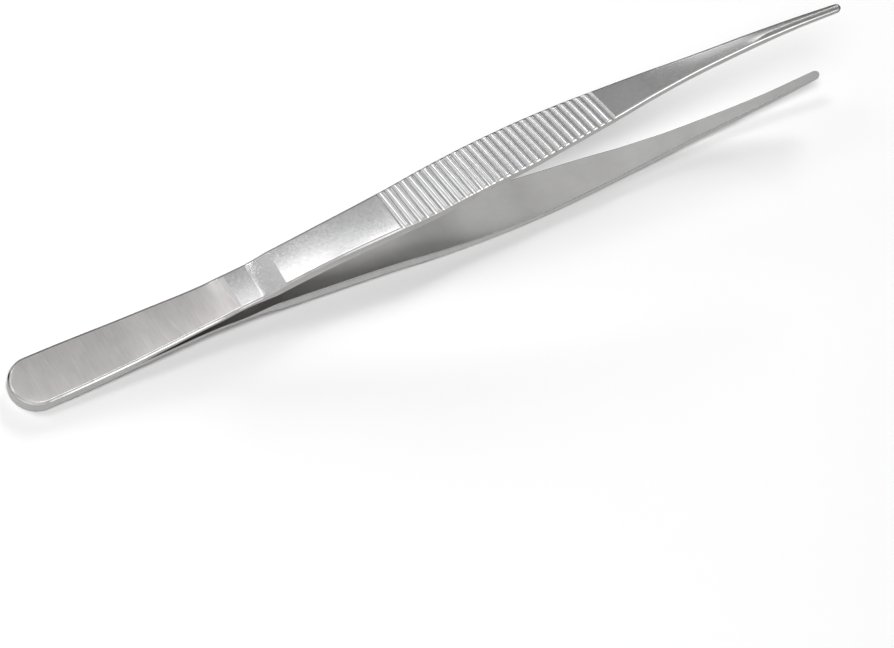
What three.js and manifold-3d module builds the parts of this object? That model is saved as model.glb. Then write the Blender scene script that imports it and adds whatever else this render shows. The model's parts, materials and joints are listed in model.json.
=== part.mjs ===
// Straight precision tweezers: two bowed steel arms, spot-welded face to face at the butt.
//
// Millimetres. Each arm is drawn in a design frame: X runs from the butt to the tips, Y across
// the arm, and Z away from the weld plane z = 0 to the arm's outer face. The lower arm is the
// upper one turned half a turn about X. The finished pair is tipped and moved so that it lies
// on z = 0 on the lower arm, with the origin under the middle of its box.
import * as THREE from "three";
import { mergeVertices } from "three/addons/utils/BufferGeometryUtils.js";
import Module from "manifold-3d";

const wasm = await Module();
wasm.setup();

// ---- Driving dimensions ---------------------------------------------------------------------

const length = 160;
const leafThickness = 1.25; // the rolled strip, as it is at the butt
const buttRadius = 4.75;
const buttFlatEnd = 20; // the leaves lie flat on each other up to here
const hingeX = 34; // middle of the stretch that bends
const hingeGap = 0.3; // the bending stretch is cut here, so that the arm can turn
const rampStart = 45.4; // where the ground leaf ends and the ramp to full thickness starts
const rampEnd = 49.8;
const ribPitch = 1.44;
const grooveCount = 29;
const grooveDepth = 0.32;
const ribStart = 70.97; // rear edge of the first groove
const ribCrest = 0.576; // length of a rib's flat crest
const ribEnd = ribStart + ribPitch * grooveCount - ribCrest; // front edge of the last groove
const innerEdge = 0.12; // broken edge all round the inner face
const weldRadius = 1.6;
const weldHeight = 0.9;
const weldGap = 0.15; // between a weld nugget and its pockets, end to end
const weldRim = 0.3; // between a weld nugget and its pockets, all round
const weldPlaces = [7, 15];
const endArcSteps = 5;
const tipRadius = 0.7;

// Points along the arm as [x, millimetres]; a smooth curve joins them.
const springLine = smooth([
  [0, 1.25], [20, 1.25], [27, 1.5], [35, 1.82], [38, 2.03], [41, 2.48], [43, 2.67], [45.4, 2.9],
]);
const bladeLine = smooth([
  [49.8, 4.17], [61, 5.95], [74, 7.5], [87, 9.8], [96, 10.85], [104, 11.7],
  [114, 12.4], [122, 13], [131, 13.2], [140, 13.15], [149, 12.65], [160, 11.3],
]);
const thickness = smooth([
  [0, 1.25], [20, 1.25], [30, 1.05], [43, 0.95], [45.4, 1.25], [49.8, 2.35], [61, 2.45],
  [74, 2.35], [87, 2.1], [96, 2], [104, 1.8], [114, 1.75], [140, 1.7], [149, 1.4], [160, 1.1],
]);
const fullWidth = smooth([
  [0, 9.6], [9, 9.4], [18, 8.9], [27, 8.2], [36, 7.45], [44, 7.2], [52, 7.2], [61, 7.4],
  [72, 8.1], [79, 8.65], [87, 8.7], [95, 8.55], [104, 7.7], [113, 6.35], [122, 4.7],
  [131, 3.3], [140, 2.45], [149, 1.85], [160, 1.4],
]);
const bevel = smooth([[0, 0.35], [48, 0.3], [72, 0.34], [104, 0.34], [114, 0.3], [160, 0.25]]);
// How far the ribs lean: for each millimetre across, their +Y end lies this far back.
const lean = smooth([[0, 0], [60, 0], [71, 0.1], [88, 0.15], [113, 0.2], [124, 0], [160, 0]]);

// ---- Curves ---------------------------------------------------------------------------------

// A curve through [x, value] points: cubic between neighbours, with no overshoot.
function smooth(points) {
  const rise = (i) => (points[i + 1][1] - points[i][1]) / (points[i + 1][0] - points[i][0]);
  const slope = (i) => {
    if (i === 0 || i === points.length - 1) return rise(Math.min(i, points.length - 2));
    const [before, after] = [rise(i - 1), rise(i)];
    return before * after > 0 ? (2 * before * after) / (before + after) : 0;
  };
  return (x) => {
    const last = points.length - 2;
    const i = Math.min(last, Math.max(0, points.findIndex((p) => p[0] > x) - 1));
    const j = x >= points[last][0] ? last : i;
    const [[x0, v0], [x1, v1]] = [points[j], points[j + 1]];
    const [w, t] = [x1 - x0, (x - x0) / (x1 - x0)];
    const [t2, t3] = [t * t, t * t * t];
    return (2 * t3 - 3 * t2 + 1) * v0 + (t3 - 2 * t2 + t) * w * slope(j)
      + (3 * t2 - 2 * t3) * v1 + (t3 - t2) * w * slope(j + 1);
  };
}

// Height of the arm's outer face over the weld plane: leaf, hollow-ground ramp, bowed blade.
function outerHeight(x) {
  if (x <= rampStart) return springLine(x) - Math.max(0, bevel(0) - x);
  if (x >= rampEnd) return bladeLine(x) - Math.max(0, (x - length) / 2 + bevel(length));
  const share = (x - rampStart) / (rampEnd - rampStart);
  return THREE.MathUtils.lerp(springLine(rampStart), bladeLine(rampEnd), share ** 1.25);
}

// The inner face doesn't feel the rounding of the outer face at either end.
function innerHeight(x) {
  const outer = x <= rampStart ? springLine(x) : x >= rampEnd ? bladeLine(x) : outerHeight(x);
  return Math.max(0, outer - thickness(x));
}

// Half the arm's width, rounded off in plan at the butt and at the tip.
function halfWidth(x) {
  const half = fullWidth(x) / 2;
  const arc = (radius, inside) => Math.sqrt(Math.max(0, radius ** 2 - (radius - inside) ** 2));
  if (x < buttRadius) return Math.min(half, arc(buttRadius, x));
  if (x > length - tipRadius) return Math.min(half, arc(tipRadius, length - x));
  return half;
}

// ---- Solids ---------------------------------------------------------------------------------

// Four (x, y, z) corners of the arm's section at x, on the +Y side (side 1) or the other (-1).
function sideCorners(x, side, groove) {
  const edgeX = x - side * lean(x) * halfWidth(x);
  const half = halfWidth(edgeX);
  const edge = Math.min(bevel(x), half * 0.6);
  const small = Math.min(innerEdge, half * 0.3);
  const [top, bottom] = [outerHeight(edgeX), innerHeight(edgeX)];
  return [
    [half - small, bottom],
    [half, bottom + small],
    [half, top - edge],
    [half - edge + groove, top - groove],
  ].map(([y, z]) => [x - side * lean(x) * y, side * y, z]);
}

// The section at x, as eight corners. It leans as the ribs do. A groove is sunk into the outer
// face and runs out through the bevels.
function section(x, groove = 0) {
  return [...sideCorners(x, 1, groove), ...sideCorners(x, -1, groove).toReversed()];
}

// A closed solid through sections across the arm, butt first.
function loft(sections) {
  const sides = sections[0].length;
  const positions = sections.flat(2);
  const faces = [];
  for (let s = 0; s < sections.length - 1; s++) {
    for (let k = 0; k < sides; k++) {
      const [a, b] = [s * sides + k, s * sides + ((k + 1) % sides)];
      faces.push(a, a + sides, b, b, a + sides, b + sides);
    }
  }
  const lastRing = (sections.length - 1) * sides;
  for (let k = 1; k < sides - 1; k++) {
    faces.push(0, k, k + 1);
    faces.push(lastRing, lastRing + k + 1, lastRing + k);
  }
  const solid = new THREE.BufferGeometry();
  solid.setAttribute("position", new THREE.Float32BufferAttribute(positions, 3));
  solid.setIndex(faces.map((_, i) => faces[i - (i % 3) + [0, 2, 1][i % 3]]));
  return solid;
}

function span(places) {
  return loft(places.map((x) => section(x)));
}

function steps(from, to, count) {
  return Array.from({ length: count + 1 }, (_, i) => from + ((to - from) * i) / count);
}

// Distances from a round end, closer together towards the end itself.
function endArc(radius) {
  return steps(0.25, Math.PI / 2, endArcSteps).map((turn) => radius * (1 - Math.cos(turn)));
}

function asManifold(geometry) {
  const bare = geometry.clone().deleteAttribute("normal").deleteAttribute("uv");
  const merged = mergeVertices(bare, 1e-4);
  return new wasm.Manifold(new wasm.Mesh({
    numProp: 3,
    vertProperties: merged.attributes.position.array,
    triVerts: new Uint32Array(merged.index.array),
  }));
}

function asGeometry(solid) {
  const mesh = solid.getMesh();
  const geometry = new THREE.BufferGeometry();
  geometry.setAttribute("position", new THREE.BufferAttribute(mesh.vertProperties, 3));
  geometry.setIndex(new THREE.BufferAttribute(mesh.triVerts, 1));
  return geometry;
}

// A short drum across the weld plane.
function drum(x, radius, height) {
  return new THREE.CylinderGeometry(radius, radius, height, 24).rotateX(Math.PI / 2).translate(x, 0, 0);
}

// The welded half of the spring stretch, with a pocket for each weld nugget.
function buttLeaf() {
  const places = [...endArc(buttRadius), 9, 14, buttFlatEnd, 25, 29.5, hingeX - hingeGap / 2];
  const pockets = weldPlaces.map((x) =>
    asManifold(drum(x, weldRadius + weldRim, weldHeight + 2 * weldGap)));
  return asGeometry(pockets.reduce((leaf, pocket) => leaf.subtract(pocket), asManifold(span(places))));
}

// The free half of the spring stretch, up to the foot of the ramp.
function springLeaf() {
  return span([...steps(hingeX + hingeGap / 2, 43, 5), rampStart]);
}

// The ramp and the plain stretch behind the ribs.
function shank() {
  return span([...steps(rampStart, rampEnd, 4), ...steps(54, ribStart, 6)]);
}

// Grooves across the outer face, with a rib between every two of them.
function ribbedGrip() {
  const slant = (ribPitch - ribCrest) / 3;
  const profile = [[0, 0], [slant, 1], [2 * slant, 1], [3 * slant, 0]];
  const sections = [];
  for (let groove = 0; groove < grooveCount; groove++) {
    for (const [offset, depth] of profile) {
      sections.push(section(ribStart + groove * ribPitch + offset, depth * grooveDepth));
    }
  }
  return loft(sections);
}

// The slender nose, whose inner face is the gripping face.
function jaw() {
  const nose = steps(ribEnd, 157, 11);
  const tip = endArc(tipRadius).toReversed().map((inside) => length - inside);
  return span([...nose, ...tip]);
}

// ---- Materials ------------------------------------------------------------------------------

const steel = (color, roughness) => new THREE.MeshStandardMaterial({ color, roughness, metalness: 1 });
const brushed = steel(0xb4b1b0, 0.42);
const polished = steel(0xd0d0d2, 0.2);
const satin = steel(0xb0afae, 0.34);
const weldMetal = steel(0x8e8b88, 0.6);

// ---- Assembly -------------------------------------------------------------------------------

function piece(name, geometry, material) {
  const mesh = new THREE.Mesh(geometry, material);
  mesh.name = name;
  return mesh;
}

function arm(side) {
  return new THREE.Group().add(
    piece(`${side}_butt_leaf`, buttLeaf(), brushed),
    piece(`${side}_spring_leaf`, springLeaf(), brushed),
    piece(`${side}_shank`, shank(), polished),
    piece(`${side}_ribbed_grip`, ribbedGrip(), polished),
    piece(`${side}_jaw`, jaw(), satin),
  );
}

const upperArm = arm("upper");
const lowerArm = arm("lower");
lowerArm.rotation.x = Math.PI;

const welds = weldPlaces.map((x, i) =>
  piece(["rear_weld_nugget", "front_weld_nugget"][i], drum(x, weldRadius, weldHeight), weldMetal));

const tweezers = new THREE.Group().add(upperArm, lowerArm, ...welds);

// The lower arm lies on the rim of its butt and on the fullest part of its bow.
const restTilt = Math.max(...steps(60, 140, 160).map((x) =>
  Math.atan2(outerHeight(x) - leafThickness, x - bevel(0))));
tweezers.rotation.y = -restTilt;

const box = new THREE.Box3().setFromObject(tweezers, true);
const middle = box.getCenter(new THREE.Vector3());
tweezers.position.set(-middle.x, -middle.y, -box.min.z);

export default tweezers;
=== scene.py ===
"""Straight precision tweezers: the looks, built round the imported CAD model.

An arm is drawn in millimetres in its design frame: X from the butt to the tip, Y across the arm, Z
from the weld plane to the outer face. to_row() takes it to metres in the row frame. The lower arm
is the upper one turned half a turn about X.
"""
import json
import math

import bpy
import numpy as np
from mathutils import Matrix, Vector


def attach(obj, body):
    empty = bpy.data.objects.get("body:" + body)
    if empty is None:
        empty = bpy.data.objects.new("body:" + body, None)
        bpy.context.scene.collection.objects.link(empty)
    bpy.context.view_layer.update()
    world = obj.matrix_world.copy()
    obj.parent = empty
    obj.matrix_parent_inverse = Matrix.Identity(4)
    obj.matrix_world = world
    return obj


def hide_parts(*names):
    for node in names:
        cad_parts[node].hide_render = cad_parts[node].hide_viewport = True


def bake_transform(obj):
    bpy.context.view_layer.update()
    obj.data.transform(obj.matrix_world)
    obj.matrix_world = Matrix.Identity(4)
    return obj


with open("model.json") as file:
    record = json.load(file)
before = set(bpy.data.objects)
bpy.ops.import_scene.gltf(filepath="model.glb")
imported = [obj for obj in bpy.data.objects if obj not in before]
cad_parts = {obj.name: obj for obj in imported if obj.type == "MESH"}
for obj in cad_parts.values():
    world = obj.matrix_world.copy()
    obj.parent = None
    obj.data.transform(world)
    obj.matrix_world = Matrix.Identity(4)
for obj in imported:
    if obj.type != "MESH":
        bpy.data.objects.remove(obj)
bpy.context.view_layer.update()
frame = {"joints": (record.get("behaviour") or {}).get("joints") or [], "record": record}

# ---- Sizes of the arm, as in the CAD model ----------------------------------------------------

MM = 0.001
LENGTH = 160
BUTT_RADIUS = 4.75
TIP_RADIUS = 0.7
HINGE_X = 34
BEND_REACH = 10  # reach on both sides of the hinge over which the real leaf bends; the two places it gives are worked out but not used
RAMP_START, RAMP_END = 45.4, 49.8
RAMP_HOLLOW = 1.25  # power of the ramp's curve: over 1 it is hollow
RIB_PITCH, GROOVE_COUNT, GROOVE_DEPTH = 1.44, 29, 0.32
RIB_START, RIB_CREST = 70.97, 0.576
RIB_END = RIB_START + RIB_PITCH * GROOVE_COUNT - RIB_CREST
SLANT = (RIB_PITCH - RIB_CREST) / 3  # length of a groove's side, and of its bottom
INNER_EDGE = 0.12
WELD_PLACES = {"rear": 7, "front": 15}
WELD_RADIUS, WELD_HEIGHT = 1.6, 0.9
WELD_RIM, WELD_GAP = 0.3, 0.15  # clearance round a weld nugget and above it

# ---- Finer shape, which only the visual model has ----------------------------------------------

CROWN = 0.05  # how much the outer face falls from its middle to its edges
CREASE_ROUNDING = 0.08
RIB_ROUNDING = 0.05
RIB_CAMBER = 0.05  # how much a rib's crest falls from its middle to its edges
GROOVE_BLEND = 0.05  # how softly a groove runs out through the bevel
FACE_CORNER, WALL_CORNER = 0.3, 0.12  # rounding of the bevel's two corners
FACET_START, FACET_END = 139.5, 144.5  # the ground facet beside the tip grows between these
FACET_WIDTH = 0.9
FACET_SLOPE = 0.13
BRUSHED_END = 41.5  # the leaf is brushed up to here and polished from here to the ramp
TEETH_START, TEETH_END = 144, LENGTH - 1  # cross grooves of the gripping face
TOOTH_PITCH, TOOTH_DEPTH = 0.5, 0.02

FRONT, EDGE, WALL, INNER, SHINY = range(5)  # material slots of an arm's piece


def smooth(points):
    """A curve through (x, value) points: cubic between neighbours, with no overshoot."""
    xs, values = np.array(points, float).T
    rise = np.diff(values) / np.diff(xs)
    before, after = rise[:-1], rise[1:]
    turns = before * after <= 0
    inner = np.where(turns, 0, 2 * before * after / np.where(turns, 1, before + after))
    slopes = np.concatenate([rise[:1], inner, rise[-1:]])

    def curve(x):
        i = np.clip(np.searchsorted(xs, x, side="right") - 1, 0, len(xs) - 2)
        width = xs[i + 1] - xs[i]
        t = (x - xs[i]) / width
        start = (2 * t**3 - 3 * t**2 + 1) * values[i] + (t**3 - 2 * t**2 + t) * width * slopes[i]
        end = (3 * t**2 - 2 * t**3) * values[i + 1] + (t**3 - t**2) * width * slopes[i + 1]
        return start + end

    return curve


spring_line = smooth([
    (0, 1.25), (20, 1.25), (27, 1.5), (35, 1.82), (38, 2.03), (41, 2.48), (43, 2.67), (45.4, 2.9),
])
blade_line = smooth([
    (49.8, 4.17), (61, 5.95), (74, 7.5), (87, 9.8), (96, 10.85), (104, 11.7),
    (114, 12.4), (122, 13), (131, 13.2), (140, 13.15), (149, 12.65), (160, 11.3),
])
thickness = smooth([
    (0, 1.25), (20, 1.25), (30, 1.05), (43, 0.95), (45.4, 1.25), (49.8, 2.35), (61, 2.45),
    (74, 2.35), (87, 2.1), (96, 2), (104, 1.8), (114, 1.75), (140, 1.7), (149, 1.4), (160, 1.1),
])
full_width = smooth([
    (0, 9.6), (9, 9.4), (18, 8.9), (27, 8.2), (36, 7.45), (44, 7.2), (52, 7.2), (61, 7.4),
    (72, 8.1), (79, 8.65), (87, 8.7), (95, 8.55), (104, 7.7), (113, 6.35), (122, 4.7),
    (131, 3.3), (140, 2.45), (149, 1.85), (160, 1.4),
])
bevel = smooth([(0, 0.35), (48, 0.3), (72, 0.34), (104, 0.34), (114, 0.3), (160, 0.25)])
lean = smooth([(0, 0), (60, 0), (71, 0.1), (88, 0.15), (113, 0.2), (124, 0), (160, 0)])
inner_edge = smooth([(0, 0.02), (9, 0.02), (22, INNER_EDGE), (160, INNER_EDGE)])  # finest at the butt


def outer_height(x):
    """Height of the outer face over the weld plane: leaf, hollow-ground ramp, bowed blade."""
    share = np.clip((x - RAMP_START) / (RAMP_END - RAMP_START), 0, 1)
    foot, head = spring_line(np.float64(RAMP_START)), blade_line(np.float64(RAMP_END))
    ramp = foot + (head - foot) * share**RAMP_HOLLOW
    return np.where(x <= RAMP_START, spring_line(x), np.where(x >= RAMP_END, blade_line(x), ramp))


def groove(x):
    """Depth of the grip's grooves: a flat bottom between two slants, then a cambered crest."""
    into = np.mod(x - RIB_START, RIB_PITCH)
    depth = GROOVE_DEPTH * np.clip(np.minimum(into, 3 * SLANT - into) / SLANT, 0, 1)
    off_middle = (into - RIB_PITCH + RIB_CREST / 2) / (RIB_CREST / 2)
    crest = np.where(off_middle > -1, off_middle**2, 1)
    return np.where((x > RIB_START) & (x < RIB_END), np.maximum(depth, RIB_CAMBER * crest), 0)


def teeth(x):
    """Depth of the fine grooves across the gripping face."""
    share = np.abs(2 * np.mod((x - TEETH_START) / TOOTH_PITCH, 1) - 1)
    return TOOTH_DEPTH * np.where((x > TEETH_START) & (x < TEETH_END), 1 - share, 0)


def rounded(curve, reach):
    """The curve averaged over reach to both sides, which rounds its corners."""
    return lambda x: np.mean([curve(x + shift) for shift in np.linspace(-reach, reach, 9)], axis=0)


outer_line = rounded(outer_height, CREASE_ROUNDING)


def groove_line(x):
    """The grooves with rounded upper corners and sharp lower ones."""
    sharp = groove(x)
    return np.where(sharp > GROOVE_DEPTH / 2, sharp, rounded(groove, RIB_ROUNDING)(x))


def half_width(x):
    """Half the arm's width, rounded off in plan at the butt and at the tip."""
    half = full_width(x) / 2
    for radius, inside in ((BUTT_RADIUS, x), (TIP_RADIUS, LENGTH - x)):
        arc = np.sqrt(np.maximum(0, radius**2 - np.maximum(0, radius - inside) ** 2))
        half = np.where(inside < radius, np.minimum(half, arc), half)
    return half


def distance_to_edge(x, y):
    """How far a point of the arm's plan lies inside its outline."""
    inside = half_width(x) - np.abs(y)
    for radius, end in ((BUTT_RADIUS, x), (TIP_RADIUS, LENGTH - x)):
        round_end = radius - np.hypot(radius - end, y)
        inside = np.where(end < radius, np.minimum(inside, round_end), inside)
    return np.maximum(0, inside)


def facet_drop(x, y):
    """How far the ground facet beside the tip lies under the outer face."""
    share = np.clip((x - FACET_START) / (FACET_END - FACET_START), 0, 1)
    return FACET_SLOPE * np.maximum(0, FACET_WIDTH * share - (y + full_width(x) / 2))


def arc_points(centre, radius, start, end, count):
    """Points of an arc as (inset, drop), with angles in degrees."""
    turns = np.radians(np.linspace(start, end, count))
    return [(centre[0] + radius * math.cos(t), centre[1] + radius * math.sin(t)) for t in turns]


def bevel_profile(edge):
    """The bevel with both corners rounded, as (inset, drop) from the wall to the outer face."""
    wall_tuck, face_tuck = (r * math.tan(math.radians(22.5)) for r in (WALL_CORNER, FACE_CORNER))
    low = arc_points((WALL_CORNER, edge + wall_tuck), WALL_CORNER, 180, 225, 5)
    high = arc_points((edge + face_tuck, FACE_CORNER), FACE_CORNER, 225, 270, 7)
    (a, b), (c, d) = low[-1], high[0]
    middle = [(a + (c - a) * k / 3, b + (d - b) * k / 3) for k in (1, 2)]
    return low + middle + high + [(edge + face_tuck + 0.03, 0)]


def softer_max(a, b, blend):
    """The larger of a and b, with the corner between them rounded."""
    return (a + b + np.sqrt((a - b) ** 2 + blend**2)) / 2


# ---- The arm's mesh ----------------------------------------------------------------------------

INNER_STEPS, WALL_STEPS, FACE_STEPS = 6, 4, 8


def half_section(x, side):
    """Points (x, y, z) of one side of the section, from the inner face's middle to the outer's, and
    the material slot of the strip that starts at each of them. The section leans as the ribs do."""
    back = side * float(lean(x))  # how far back a point lies for each millimetre across
    half = float(half_width(x - back * half_width(x)))
    narrow = min(1, half)
    sunk = float(groove_line(x))

    radius = float(inner_edge(x))
    turns = np.linspace(0, math.pi / 2, 5)
    inner_round = [(radius * (1 - math.sin(t)), radius * (1 - math.cos(t))) for t in turns]
    insets, rises = np.array(inner_round[::-1]).T
    inner_insets = [radius + 0.03] + [inset for inset, _ in inner_round]
    flat = np.linspace(0, 1, INNER_STEPS + 1)[:-1] * (half - narrow * inner_insets[0])
    inner_ys = np.concatenate([flat, half - narrow * np.array(inner_insets)])
    inner_xs = x - back * inner_ys
    rise = np.interp(distance_to_edge(inner_xs, inner_ys), insets, rises)
    bottom = np.maximum(0, outer_height(inner_xs) - thickness(inner_xs))
    inner_zs = bottom + np.maximum(rise, float(teeth(x)))

    corner = np.array(bevel_profile(float(bevel(x))))
    corner_ys = half - narrow * corner[:, 0]
    flat = np.linspace(1, 0, FACE_STEPS + 1)[1:] * corner_ys[-1]
    outer_ys = np.concatenate([corner_ys, flat])
    outer_xs = x - back * outer_ys
    drop = np.interp(distance_to_edge(outer_xs, outer_ys), corner[:, 0], corner[:, 1])
    drop = softer_max(drop, sunk, GROOVE_BLEND * sunk / GROOVE_DEPTH)
    drop += CROWN * (outer_ys / (full_width(x) / 2)) ** 2 + facet_drop(outer_xs, side * outer_ys)
    outer_zs = outer_line(outer_xs) - drop

    wall_zs = np.linspace(inner_zs[-1], outer_zs[0], WALL_STEPS + 1)[1:-1]
    ys = np.concatenate([inner_ys, np.full(len(wall_zs), half), outer_ys])
    zs = np.concatenate([inner_zs, wall_zs, outer_zs])
    face = SHINY if BRUSHED_END < x < RAMP_START else FRONT
    slots = (
        [INNER] * (len(inner_ys) - 5) + [EDGE] * 4 + [WALL] * WALL_STEPS
        + [EDGE] * (len(corner) - 1) + [face] * FACE_STEPS
    )
    return np.column_stack([x - back * ys, side * ys, zs]), slots


def ring(x):
    """The whole section at x: its points, anticlockwise seen from the tip, and the slots."""
    right, slots = half_section(x, 1)
    left, _ = half_section(x, -1)
    return np.concatenate([right, left[-2:0:-1]]), slots + slots[::-1]


def row_axes():
    """The design frame's X and Z axes and its origin, in the row frame."""
    outwards = Vector(frame["record"]["mounts"][0]["axis"])
    along = Vector((outwards.z, 0, -outwards.x))
    hinges = [Vector(joint["pos_m"]) for joint in frame["joints"]]
    return along, outwards, sum(hinges, Vector()) / len(hinges) - along * HINGE_X * MM


ALONG, OUTWARDS, BUTT_END = row_axes()


def to_row(points, lower=False):
    """Design millimetres to metres in the row frame."""
    flip = -1 if lower else 1
    x, y, z = np.asarray(points, float).T * MM
    return (
        np.outer(x, ALONG) + np.outer(flip * y, (0, 1, 0)) + np.outer(flip * z, OUTWARDS)
        + np.array(BUTT_END)
    )


def arm_piece(name, places, lower, open_ends, materials):
    """One span of an arm: a closed skin through the sections at places."""
    rings = [ring(x) for x in places]
    points = np.concatenate([to_row(section, lower) for section, _ in rings])
    around = len(rings[0][1])
    faces, face_slots = [], []
    for i, (_, slots) in enumerate(rings[:-1]):
        for k in range(around):
            a, b = i * around + k, i * around + (k + 1) % around
            faces.append((a, b, b + around, a + around))
            face_slots.append(slots[k])
    last = around * (len(places) - 1)
    faces += [tuple(range(around))[::-1], tuple(range(last, last + around))]
    face_slots += [WALL, WALL]

    mesh = bpy.data.meshes.new(name)
    mesh.from_pydata(points.tolist(), [], faces)
    mesh.polygons.foreach_set("material_index", face_slots)
    mesh.polygons.foreach_set("use_smooth", [True] * len(faces))
    for material in materials:
        mesh.materials.append(material)
    caps = {end for end, is_cut in zip((0, last), open_ends) if is_cut}
    for edge in mesh.edges:
        a, b = sorted(edge.vertices)
        edge.use_edge_sharp = any(cap <= a and b < cap + around for cap in caps)
    mesh.update()
    piece = bpy.data.objects.new(name, mesh)
    bpy.context.scene.collection.objects.link(piece)
    return piece


def evenly(start, end, spacing):
    """Places from start to end, about spacing apart."""
    return list(np.linspace(start, end, max(2, round((end - start) / spacing) + 1)))


def close_to(place, reach=0.2, count=9):
    """Places close together on both sides of one place, to draw a rounded crease."""
    return list(np.linspace(place - reach, place + reach, count))


def within(start, end, *groups):
    """The places of all groups between start and end, in order and none twice."""
    places = sorted({round(float(x), 4) for group in groups for x in group if start < x < end})
    return [start] + places + [end]


def spring_places():
    round_end = [BUTT_RADIUS * (1 - math.cos(t)) for t in np.radians(np.linspace(3, 90, 30))]
    return within(round_end[0], RAMP_START, round_end, evenly(5.2, 45, 0.7), [BRUSHED_END],
                  close_to(RAMP_START))


def shank_places():
    start, end = RAMP_START, RIB_START
    return within(start, end, evenly(start, end, 0.55), close_to(start), close_to(RAMP_END),
                  close_to(end))


def grip_places():
    upper = [k * SLANT + shift for k in (0, 3) for shift in (-0.06, -0.03, 0, 0.03, 0.06)]
    lower = [k * SLANT + shift for k in (1, 2) for shift in (-0.01, 0, 0.01)]
    crest = [RIB_PITCH - RIB_CREST * share for share in (0.2, 0.35, 0.5, 0.65, 0.8)]
    steps = upper + lower + crest + [k * SLANT for k in (0.5, 1.5, 2.5)]
    grooves = [RIB_START + k * RIB_PITCH + step for k in range(GROOVE_COUNT) for step in steps]
    return within(RIB_START, RIB_END, grooves)


def jaw_places():
    teeth_places = evenly(TEETH_START, TEETH_END, TOOTH_PITCH / 4)
    round_end = [LENGTH - TIP_RADIUS * (1 - math.cos(t)) for t in np.radians(np.linspace(90, 4, 20))]
    return within(RIB_END, round_end[-1], close_to(RIB_END), evenly(RIB_END, TEETH_START, 0.6),
                  teeth_places, round_end)


# ---- Materials ---------------------------------------------------------------------------------


def node(tree, kind, inputs=None, **settings):
    """A shader node with its settings, and its inputs set or linked."""
    made = tree.nodes.new("ShaderNode" + kind)
    for setting, value in settings.items():
        setattr(made, setting, value)
    for socket, value in (inputs or {}).items():
        if isinstance(value, bpy.types.NodeSocket):
            tree.links.new(value, made.inputs[socket])
        else:
            made.inputs[socket].default_value = value
    return made


def noise(tree, size, detail=3, turn=0):
    """Noise whose features are size = (x, y, z) millimetres large, turned about Z."""
    place = node(tree, "TexCoord").outputs["Object"]
    turned = node(tree, "Mapping", {"Vector": place, "Rotation": (0, 0, math.radians(turn))})
    scaled = node(tree, "Mapping", {
        "Vector": turned.outputs[0], "Scale": [1 / (length * MM) for length in size],
    })
    return node(tree, "TexNoise", {
        "Vector": scaled.outputs[0], "Scale": 1, "Detail": detail, "Roughness": 0.6,
    }).outputs["Fac"]


def ranged(tree, value, low, high, start=0.3, end=0.7):
    """value taken from start..end to low..high."""
    return node(tree, "MapRange", {
        "Value": value, "From Min": start, "From Max": end, "To Min": low, "To Max": high,
    }).outputs["Result"]


def maths(tree, operation, *values):
    """The result of a Math node on the values."""
    return node(tree, "Math", dict(enumerate(values)), operation=operation).outputs[0]


def ramp(tree, value, stops):
    """A colour ramp: stops are (position, colour)."""
    made = node(tree, "ValToRGB", {"Fac": value})
    elements = made.color_ramp.elements
    while len(elements) < len(stops):
        elements.new(0.5)
    for element, (position, colour) in zip(elements, stops):
        element.position = position
        element.color = (*colour, 1)
    return made.outputs["Color"]


def mixed(tree, share, first, second, mode="MIX"):
    """Two colours mixed, or blended in another mode."""
    made = node(tree, "Mix", data_type="RGBA", blend_type=mode)
    for socket, value in ((0, share), (6, first), (7, second)):
        if isinstance(value, bpy.types.NodeSocket):
            tree.links.new(value, made.inputs[socket])
        else:
            made.inputs[socket].default_value = value
    return made.outputs[2]


def steel(name, dark, light, roughness, grain, grain_height, mottle, streaks=0.05, scratches=0):
    """Bare steel. grain and mottle are the sizes of its fine and its broad pattern, in millimetres
    along x, y and z. streaks is how much the grain darkens it, and scratches is how strongly single
    long scratches show."""
    material = bpy.data.materials.new(name)
    material.use_nodes = True
    tree = material.node_tree
    shader = tree.nodes["Principled BSDF"]
    fine, broad = noise(tree, grain), noise(tree, mottle, 2)
    colour = ramp(tree, broad, [(0.35, dark), (0.65, light)])
    streak = ramp(tree, fine, [(0.3, [1 - streaks] * 3), (0.7, (1, 1, 1))])
    colour = mixed(tree, 1.0, colour, streak, "MULTIPLY")
    low, high = roughness
    rough = ranged(tree, fine, low, high)
    if scratches:
        long_lines = noise(tree, (0.25, 14, 0.25), 2, turn=-12)
        lines = ranged(tree, long_lines, 0, 1, 0.68, 0.74)
        colour = mixed(tree, ranged(tree, lines, 0, scratches, 0, 1), colour, (0.95, 0.94, 0.93, 1))
    fine_bump = node(tree, "Bump", {"Strength": 1.0, "Distance": grain_height * MM, "Height": fine})
    wave = node(tree, "Bump", {
        "Strength": 1.0, "Distance": 0.01 * MM, "Height": noise(tree, (6, 5, 6), 1),
        "Normal": fine_bump.outputs["Normal"],
    })
    tree.links.new(colour, shader.inputs["Base Color"])
    tree.links.new(rough, shader.inputs["Roughness"])
    tree.links.new(wave.outputs["Normal"], shader.inputs["Normal"])
    shader.inputs["Metallic"].default_value = 1
    return material


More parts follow.
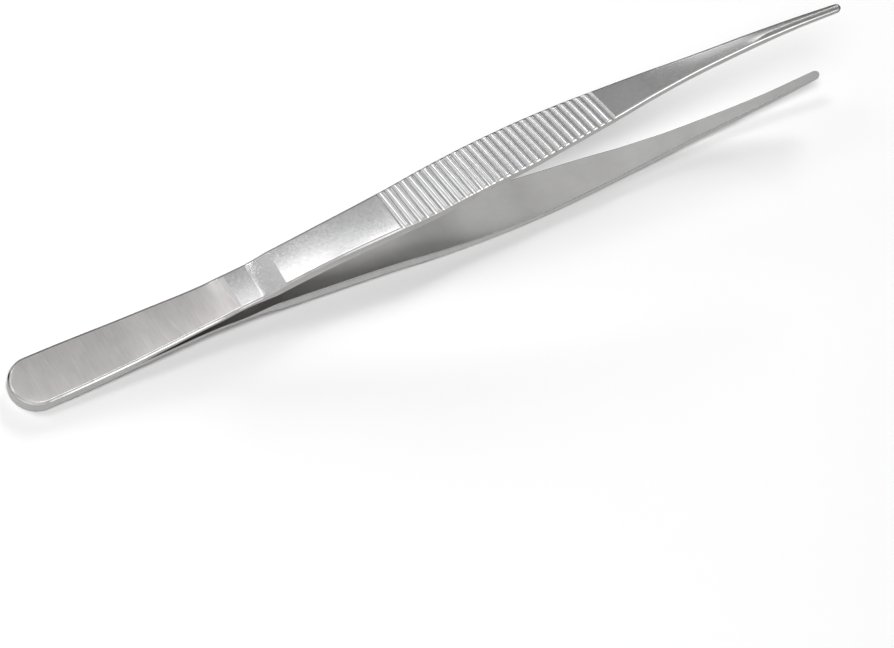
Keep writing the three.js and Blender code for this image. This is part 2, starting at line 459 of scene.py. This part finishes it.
BRUSHED = steel("brushed_steel", (0.55, 0.53, 0.53), (0.6, 0.575, 0.575), (0.28, 0.34),
                grain=(0.2, 4, 0.5), grain_height=0.0018, mottle=(3, 5, 3), streaks=0.12,
                scratches=0.4)
POLISHED = steel("polished_steel", (0.72, 0.72, 0.73), (0.76, 0.76, 0.765), (0.12, 0.18),
                 grain=(0.4, 0.6, 0.5), grain_height=0.004, mottle=(0.7, 0.7, 0.7))
SATIN = steel("satin_steel", (0.6, 0.6, 0.6), (0.63, 0.625, 0.625), (0.16, 0.22),
              grain=(3, 0.2, 0.2), grain_height=0.0008, mottle=(4, 3, 4))
TUMBLED = steel("tumbled_edge", (0.72, 0.71, 0.70), (0.8, 0.79, 0.78), (0.12, 0.2),
                grain=(1.5, 0.2, 0.2), grain_height=0.0006, mottle=(2, 2, 2))
GROUND = steel("ground_wall", (0.56, 0.555, 0.55), (0.62, 0.61, 0.605), (0.28, 0.36),
               grain=(2.5, 0.12, 0.12), grain_height=0.0015, mottle=(3, 3, 3))
INSIDE = steel("inner_satin", (0.6, 0.595, 0.59), (0.64, 0.635, 0.63), (0.28, 0.32),
               grain=(2, 0.3, 0.3), grain_height=0.0002, mottle=(5, 5, 5))
WELD = steel("weld_metal", (0.30, 0.27, 0.25), (0.46, 0.44, 0.42), (0.4, 0.6),
             grain=(0.3, 0.3, 0.3), grain_height=0.02, mottle=(0.8, 0.8, 0.8))


# ---- Pieces ------------------------------------------------------------------------------------


def weld_pockets(leaf):
    """Cuts the pockets for the weld nuggets into the leaf's inner face."""
    for x in WELD_PLACES.values():
        centre = Vector(to_row([(x, 0, 0)])[0])
        bpy.ops.mesh.primitive_cylinder_add(
            vertices=48, radius=(WELD_RADIUS + WELD_RIM) * MM,
            depth=(WELD_HEIGHT + 2 * WELD_GAP) * MM, location=centre,
            rotation=OUTWARDS.to_track_quat("Z", "Y").to_euler(),
        )
        cutter = bpy.context.object
        cut = leaf.modifiers.new("pocket", "BOOLEAN")
        cut.operation, cut.solver, cut.object = "DIFFERENCE", "EXACT", cutter
        cut.material_mode = "INDEX"
        bpy.context.view_layer.objects.active = leaf
        bpy.ops.object.modifier_apply(modifier=cut.name)
        bpy.data.objects.remove(cutter)


def weld_nugget(name, x):
    """A lens of fused metal between the leaves."""
    rings, around = 12, 40
    points, faces = [], []
    for k in range(1, rings):
        turn = math.pi * k / rings
        radius = WELD_RADIUS * math.sin(turn) ** 0.5
        height = WELD_HEIGHT / 2 * math.cos(turn)
        for j in range(around):
            angle = 2 * math.pi * j / around
            lump = 1 - 0.03 * (1 + math.sin(3 * angle + k)) * math.sin(turn)
            points.append((x + radius * lump * math.cos(angle), radius * lump * math.sin(angle), height))
    for k in range(rings - 2):
        for j in range(around):
            a, b = k * around + j, k * around + (j + 1) % around
            faces.append((a, a + around, b + around, b))
    last = (rings - 2) * around
    faces += [tuple(range(around)), tuple(range(last, last + around))[::-1]]
    mesh = bpy.data.meshes.new(name)
    mesh.from_pydata(to_row(points).tolist(), [], faces)
    mesh.polygons.foreach_set("use_smooth", [True] * len(faces))
    mesh.materials.append(WELD)
    nugget = bpy.data.objects.new(name, mesh)
    bpy.context.scene.collection.objects.link(nugget)
    return nugget


def make_arm(side):
    """The four spans of one arm; the shank, the grip and the jaw go on the arm's body."""
    lower = side == "lower"
    body = f"{side}_arm"
    spring = arm_piece(f"{side}_arm_spring", spring_places(), lower, (False, True),
                       [BRUSHED, TUMBLED, GROUND, INSIDE, POLISHED])
    weld_pockets(spring)
    to_row([(HINGE_X - BEND_REACH, 0, 0)])[0]
    to_row([(HINGE_X + BEND_REACH, 0, 0)])[0]
    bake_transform(spring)
    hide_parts(f"{side}_butt_leaf", f"{side}_spring_leaf")
    for part, places, cuts, finish, slot in (
        ("shank", shank_places(), (True, True), POLISHED, "steel_polished"),
        ("ribbed_grip", grip_places(), (True, True), POLISHED, "steel_polished"),
        ("jaw", jaw_places(), (True, False), SATIN, "steel_satin"),
    ):
        piece = arm_piece(f"{side}_arm_{part}", places, lower, cuts, [finish, TUMBLED, GROUND, INSIDE])
        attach(piece, body)
        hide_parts(f"{side}_{part}")


for arm in ("upper", "lower"):
    make_arm(arm)
for place, weld_x in WELD_PLACES.items():
    nugget = weld_nugget(f"{place}_weld", weld_x)
    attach(nugget, "butt")
    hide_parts(f"{place}_weld_nugget")

# ---- Stage -------------------------------------------------------------------------------------

VIEW_AZIMUTH, VIEW_ELEVATION, VIEW_ROLL = -47.89, 55.0, 21.07  # degrees
VIEW_DISTANCE = 1.0484
VIEW_LENS = 250.5
AIM_X = 80  # the camera is set by this point of the plane between the arms
AIM_RIGHT, AIM_DOWN = 0.00281, 0.01874  # how far the picture's middle lies from that point
FLOOR_RADIUS = 4
FLOOR_DROP = 0.00002  # keeps the floor clear of the steel that lies on it
FLOOR_LIGHT_DISTANCE, FLOOR_LIGHT_SIZE = 0.8, 0.25
OVERHEAD = 0.35  # height of the small lights over the steel


def make_camera():
    azimuth, elevation = math.radians(VIEW_AZIMUTH), math.radians(VIEW_ELEVATION)
    back = Vector((
        math.sin(azimuth) * math.cos(elevation),
        -math.cos(azimuth) * math.cos(elevation),
        math.sin(elevation),
    ))
    turn = Matrix.Rotation(math.radians(VIEW_ROLL), 3, back) @ back.to_track_quat("Z", "Y").to_matrix()
    middle = Vector(to_row([(AIM_X, 0, 0)])[0]) + turn @ Vector((AIM_RIGHT, -AIM_DOWN, 0))
    data = bpy.data.cameras.new("camera")
    data.lens, data.sensor_width = VIEW_LENS, 36
    data.clip_start, data.clip_end = 0.05, 20
    camera = bpy.data.objects.new("camera", data)
    camera.matrix_world = Matrix.Translation(middle + back * VIEW_DISTANCE) @ turn.to_4x4()
    bpy.context.scene.collection.objects.link(camera)
    bpy.context.scene.camera = camera


def make_floor():
    bpy.ops.mesh.primitive_circle_add(
        vertices=64, radius=FLOOR_RADIUS, fill_type="NGON", location=(0, 0, -FLOOR_DROP),
    )
    floor = bpy.context.object
    floor.name = "floor"
    material = bpy.data.materials.new("floor")
    material.use_nodes = True
    shader = material.node_tree.nodes["Principled BSDF"]
    shader.inputs["Base Color"].default_value = (0.9, 0.9, 0.9, 1)
    shader.inputs["Roughness"].default_value = 1
    shader.inputs["Specular IOR Level"].default_value = 0
    floor.data.materials.append(material)
    floor.visible_glossy = False


def softbox(name, place, aim, size, power, on_floor=False):
    """A soft light that shows in the steel, or one that only lights the floor."""
    data = bpy.data.lights.new(name, "AREA")
    data.shape = "RECTANGLE"
    data.size, data.size_y = size
    data.energy = power
    light = bpy.data.objects.new(name, data)
    light.location = place
    light.rotation_euler = (Vector(aim) - Vector(place)).to_track_quat("-Z", "Y").to_euler()
    light.visible_camera = False
    light.visible_diffuse, light.visible_glossy = on_floor, not on_floor
    bpy.context.scene.collection.objects.link(light)


def floor_light(name, azimuth, elevation, power):
    """A large square light that only lights the floor, aimed at the middle of the part."""
    azimuth, elevation = math.radians(azimuth), math.radians(elevation)
    place = FLOOR_LIGHT_DISTANCE * Vector((
        math.cos(azimuth) * math.cos(elevation),
        math.sin(azimuth) * math.cos(elevation),
        math.sin(elevation),
    ))
    softbox(name, place, (0, 0, 0), (FLOOR_LIGHT_SIZE, FLOOR_LIGHT_SIZE), power, on_floor=True)


def make_world():
    """A dim room, brighter overhead, to the left and on the near side, underfoot, and straight
    across, where the side walls of the steel mirror it. It only shows in the steel."""
    world = bpy.data.worlds.new("studio")
    world.use_nodes = True
    tree = world.node_tree
    direction = node(tree, "TexCoord").outputs["Generated"]
    x, y, z = node(tree, "SeparateXYZ", {"Vector": direction}).outputs
    left = ranged(tree, x, 0.58, 0, -1, 0.2)
    near = ranged(tree, y, 0.43, 0, -1, 0.2)
    sides = maths(tree, "ADD", left, near)
    above = ranged(tree, z, 0, 1, 0, 0.02)
    far_side = ranged(tree, y, 0.5, 1, -0.1, 0.25)
    overhead = maths(tree, "MULTIPLY", ranged(tree, z, 0, 0.43, 0, 1), far_side)
    below = ranged(tree, z, 0.9, 0, -1, -0.2)
    upper = maths(tree, "MULTIPLY_ADD", sides, above, overhead)
    across = ranged(tree, maths(tree, "ABSOLUTE", y), 0, 0.5, 0.94, 0.97)
    strength = maths(tree, "ADD", maths(tree, "ADD", upper, below), across)
    background = tree.nodes["Background"]
    background.inputs["Color"].default_value = (1, 1, 1, 1)
    tree.links.new(strength, background.inputs["Strength"])
    bpy.context.scene.world = world
    world.cycles_visibility.diffuse = False


def make_lights():
    floor_light("floor_near", 225, 65, 4.6)
    floor_light("floor_far", 45, 25, 3.7)
    floor_light("floor_left", 135, 65, 1.5)
    floor_light("floor_left_low", 140, 35, 0.6)
    for name, x, y, power in (
        ("shank", -0.02, 0.12, 0.004),
        ("shank_rear", -0.06, 0.12, 0.009),
        ("leaf", -0.1, 0.24, 0.1),
        ("nose", 0.18, 0.18, 0.007),
        ("nose_far", 0.18, 0.24, 0.02),
        ("inside", 0.22, 0.12, 0.018),
        ("tip", 0.28, 0.11, 0.02),
    ):
        softbox(name, (x, y, OVERHEAD), (x, y, 0), (0.04, 0.06), power)
    softbox("shank_near", (-0.03, 0.085, OVERHEAD), (-0.03, 0.085, 0), (0.085, 0.08), 0.085)
    softbox("ribs", (-0.3, 0.18, 0.3), (0.01, 0, 0.01), (0.12, 0.15), 0.13)
    softbox("near", (0.18, -0.35, 0.16), (0.18, 0, 0.16), (0.3, 0.08), 0.13)
    softbox("left", (-0.4, 0.18, 0.18), (0, 0.18, 0.18), (0.14, 0.14), 0.08)
    bpy.context.scene.view_settings.view_transform = "Standard"


make_camera()
make_floor()
make_world()
make_lights()
